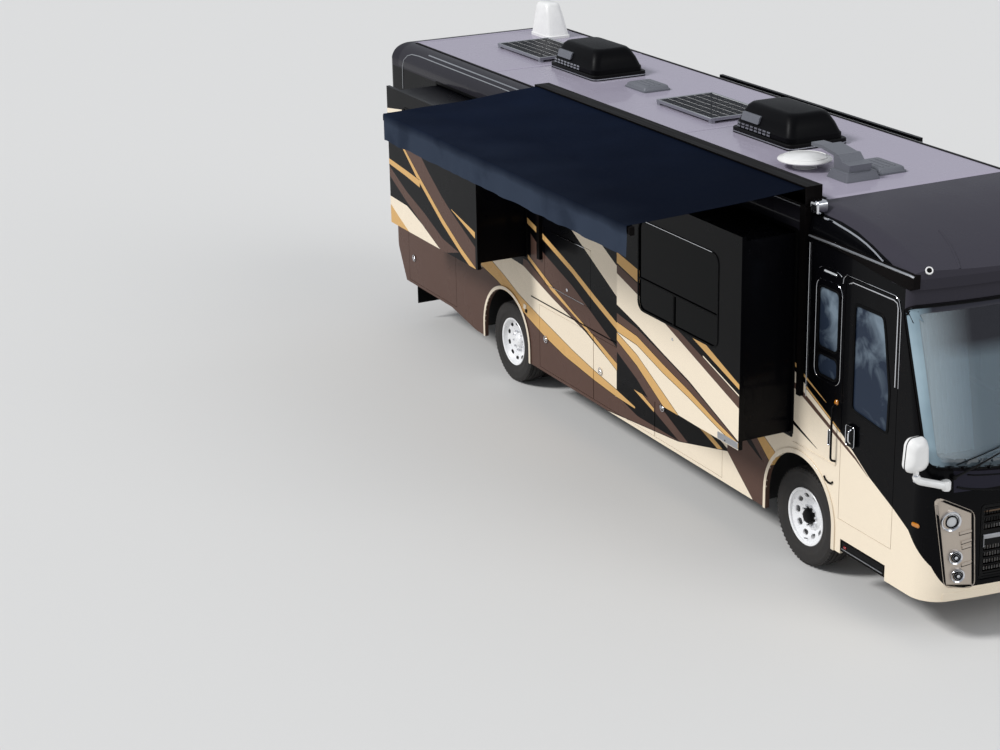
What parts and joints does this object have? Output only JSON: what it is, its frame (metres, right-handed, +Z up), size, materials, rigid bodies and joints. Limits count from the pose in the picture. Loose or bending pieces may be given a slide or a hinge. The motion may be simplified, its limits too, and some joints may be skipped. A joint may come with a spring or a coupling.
{
  "type": "motorhome",
  "caption": "Coach-style motorhome with slide-out rooms and a patio awning extended, hinged entry and compartment doors, and steered front wheels.",
  "frame": {"origin": "on the ground at the bottom centre of the whole outline, slide-outs and awning extended", "axes": "+X towards the nose, +Y to the coach's left, +Z up"},
  "size_m": [11.584, 5.0774, 4.0799],
  "materials": {
    "panels_black": "gloss",
    "panels_cream": "gloss",
    "roof_panel": "matt",
    "tinted_glass": "gloss",
    "chassis_steel": "satin",
    "engine_iron": "matt",
    "tyre_rubber": "matt",
    "wheel_alloy": "polished",
    "floor_board": "matt",
    "tray_plastic": "matt",
    "awning_aluminium": "satin",
    "awning_cloth": "matt",
    "grille_black": "gloss",
    "lamp_lens": "gloss",
    "mirror_shell": "gloss",
    "black_metal": "satin",
    "roof_unit": "satin",
    "roof_shroud": "satin",
    "solar_cell": "gloss",
    "dash_plastic": "matt",
    "seat_leather": "satin",
    "flap_rubber": "matt"
  },
  "bodies": {
    "coach": {"side_skirts": "panels_cream", "wall_right": "panels_black", "wall_left": "panels_black", "side_windows": "tinted_glass", "roof": "roof_panel", "front_cap": "panels_cream", "windshield": "tinted_glass", "rear_cap": "panels_black", "chassis_frame": "chassis_steel", "hitch_receiver": "chassis_steel", "engine_block": "engine_iron", "front_axle": "chassis_steel", "rear_axle": "chassis_steel", "floor": "floor_board", "basement": "tray_plastic", "awning_case": "awning_aluminium", "awning_fabric": "awning_cloth", "grille": "grille_black", "lamps": "lamp_lens", "mirrors": "mirror_shell", "wipers": "black_metal", "ac_units": "roof_shroud", "solar_panels": "solar_cell", "roof_fittings": "roof_unit", "dashboard": "dash_plastic", "cab_seats": "seat_leather", "mud_flaps": "flap_rubber"},
    "knuckle_left": {"knuckle_left": "chassis_steel"},
    "knuckle_right": {"knuckle_right": "chassis_steel"},
    "wheel_front_left": {"tyre_front_left": "tyre_rubber", "rim_front_left": "wheel_alloy"},
    "wheel_front_right": {"tyre_front_right": "tyre_rubber", "rim_front_right": "wheel_alloy"},
    "wheels_rear_left": {"tyres_rear_left": "tyre_rubber", "rims_rear_left": "wheel_alloy"},
    "wheels_rear_right": {"tyres_rear_right": "tyre_rubber", "rims_rear_right": "wheel_alloy"},
    "entry_door": {"entry_door": "panels_cream", "entry_door_glass": "tinted_glass"},
    "entry_step": {"entry_step": "awning_aluminium"},
    "screen_hatch": {"screen_hatch": "panels_cream"},
    "slide_right_front": {"slide_right_front": "panels_cream", "slide_right_front_glass": "tinted_glass"},
    "slide_right_rear": {"slide_right_rear": "panels_cream", "slide_right_rear_glass": "tinted_glass"},
    "slide_left": {"slide_left": "panels_cream", "slide_left_glass": "tinted_glass"},
    "awning_arm_rear": {"awning_arm_rear": "awning_aluminium"},
    "awning_forearm_rear": {"awning_forearm_rear": "awning_aluminium"},
    "awning_arm_front": {"awning_arm_front": "awning_aluminium"},
    "awning_forearm_front": {"awning_forearm_front": "awning_aluminium"},
    "awning_lead": {"awning_lead_rail": "awning_aluminium", "awning_valance": "awning_cloth"},
    "bay_door_right_rear": {"bay_door_right_rear": "panels_cream"},
    "bay_door_right_1": {"bay_door_right_1": "panels_cream"},
    "bay_door_right_2": {"bay_door_right_2": "panels_cream"},
    "bay_door_right_3": {"bay_door_right_3": "panels_cream"},
    "bay_door_left_rear": {"bay_door_left_rear": "panels_cream"},
    "bay_door_left_1": {"bay_door_left_1": "panels_cream"},
    "bay_door_left_2": {"bay_door_left_2": "panels_cream"}
  },
  "joints": [
    {"name": "steer_left", "type": "hinge", "parent": "coach", "child": "knuckle_left", "pos_m": [3.642, 1.51875, 0.495], "axis": [0, 0, 1], "range_deg": [-45, 45]},
    {"name": "steer_right", "type": "hinge", "parent": "coach", "child": "knuckle_right", "pos_m": [3.642, -0.24125, 0.495], "axis": [0, 0, 1], "range_deg": [-45, 45]},
    {"name": "front_left_wheel_spin", "type": "hinge", "parent": "knuckle_left", "child": "wheel_front_left", "pos_m": [3.642, 1.69375, 0.495], "axis": [0, 1, 0], "continuous": true},
    {"name": "front_right_wheel_spin", "type": "hinge", "parent": "knuckle_right", "child": "wheel_front_right", "pos_m": [3.642, -0.41625, 0.495], "axis": [0, 1, 0], "continuous": true},
    {"name": "rear_left_wheels_spin", "type": "hinge", "parent": "coach", "child": "wheels_rear_left", "pos_m": [-2.508, 1.55875, 0.495], "axis": [0, 1, 0], "continuous": true},
    {"name": "rear_right_wheels_spin", "type": "hinge", "parent": "coach", "child": "wheels_rear_right", "pos_m": [-2.508, -0.28125, 0.495], "axis": [0, 1, 0], "continuous": true},
    {"name": "entry_door_hinge", "type": "hinge", "parent": "coach", "child": "entry_door", "pos_m": [5.117, -0.63625, 1.9375], "axis": [0, 0, 1], "range_deg": [0, 95]},
    {"name": "entry_step_slide", "type": "slide", "parent": "coach", "child": "entry_step", "axis": [0, -1, 0], "range_m": [0, 0.28]},
    {"name": "bay_door_right_rear_hinge", "type": "hinge", "parent": "coach", "child": "bay_door_right_rear", "pos_m": [-3.914, -0.63625, 0.885], "axis": [0, 0, 1], "range_deg": [0, 90]},
    {"name": "bay_door_right_1_hinge", "type": "hinge", "parent": "coach", "child": "bay_door_right_1", "pos_m": [-0.384, -0.63625, 0.83], "axis": [0, 0, 1], "range_deg": [0, 90]},
    {"name": "bay_door_right_2_hinge", "type": "hinge", "parent": "coach", "child": "bay_door_right_2", "pos_m": [0.956, -0.63625, 0.83], "axis": [0, 0, 1], "range_deg": [0, 90]},
    {"name": "bay_door_right_3_hinge", "type": "hinge", "parent": "coach", "child": "bay_door_right_3", "pos_m": [2.296, -0.63625, 0.83], "axis": [0, 0, 1], "range_deg": [0, 90]},
    {"name": "bay_door_left_rear_hinge", "type": "hinge", "parent": "coach", "child": "bay_door_left_rear", "pos_m": [-3.914, 1.91375, 0.885], "axis": [0, 0, -1], "range_deg": [0, 90]},
    {"name": "bay_door_left_1_hinge", "type": "hinge", "parent": "coach", "child": "bay_door_left_1", "pos_m": [0.306, 1.91375, 0.83], "axis": [0, 0, -1], "range_deg": [0, 90]},
    {"name": "bay_door_left_2_hinge", "type": "hinge", "parent": "coach", "child": "bay_door_left_2", "pos_m": [2.296, 1.91375, 0.83], "axis": [0, 0, -1], "range_deg": [0, 90]},
    {"name": "screen_hatch_hinge", "type": "hinge", "parent": "coach", "child": "screen_hatch", "pos_m": [-0.978, -0.63625, 2.17], "axis": [-1, 0, 0], "range_deg": [0, 85]},
    {"name": "slide_right_front_slide", "type": "slide", "parent": "coach", "child": "slide_right_front", "axis": [0, 1, 0], "range_m": [0, 0.569]},
    {"name": "slide_right_rear_slide", "type": "slide", "parent": "coach", "child": "slide_right_rear", "axis": [0, 1, 0], "range_m": [0, 0.609]},
    {"name": "slide_left_slide", "type": "slide", "parent": "coach", "child": "slide_left", "axis": [0, -1, 0], "range_m": [0, 0.574]},
    {"name": "awning_shoulder_rear", "type": "hinge", "parent": "coach", "child": "awning_arm_rear", "pos_m": [-1.218, -0.58625, 3.66], "axis": [0, 0, 1], "range_deg": [0, 73.9], "deforming": ["awning_fabric"]},
    {"name": "awning_elbow_rear", "type": "hinge", "parent": "awning_arm_rear", "child": "awning_forearm_rear", "pos_m": [-0.985, -1.52075, 3.66], "axis": [0, 0, 1], "range_deg": [-147.8, 0]},
    {"name": "awning_shoulder_front", "type": "hinge", "parent": "coach", "child": "awning_arm_front", "pos_m": [3.272, -0.58625, 3.66], "axis": [0, 0, 1], "range_deg": [-73.9, 0]},
    {"name": "awning_elbow_front", "type": "hinge", "parent": "awning_arm_front", "child": "awning_forearm_front", "pos_m": [3.039, -1.52075, 3.66], "axis": [0, 0, 1], "range_deg": [0, 147.8]},
    {"name": "awning_lead_hinge", "type": "hinge", "parent": "awning_forearm_rear", "child": "awning_lead", "pos_m": [-1.218, -2.45525, 3.66], "axis": [0, 0, 1], "range_deg": [0, 73.9]}
  ],
  "couplings": [
    {"joint": "steer_right", "follows": "steer_left", "ratio": 1},
    {"joint": "awning_elbow_rear", "follows": "awning_shoulder_rear", "ratio": -2},
    {"joint": "awning_lead_hinge", "follows": "awning_shoulder_rear", "ratio": 1},
    {"joint": "awning_shoulder_front", "follows": "awning_shoulder_rear", "ratio": -1},
    {"joint": "awning_elbow_front", "follows": "awning_shoulder_rear", "ratio": 2}
  ]
}
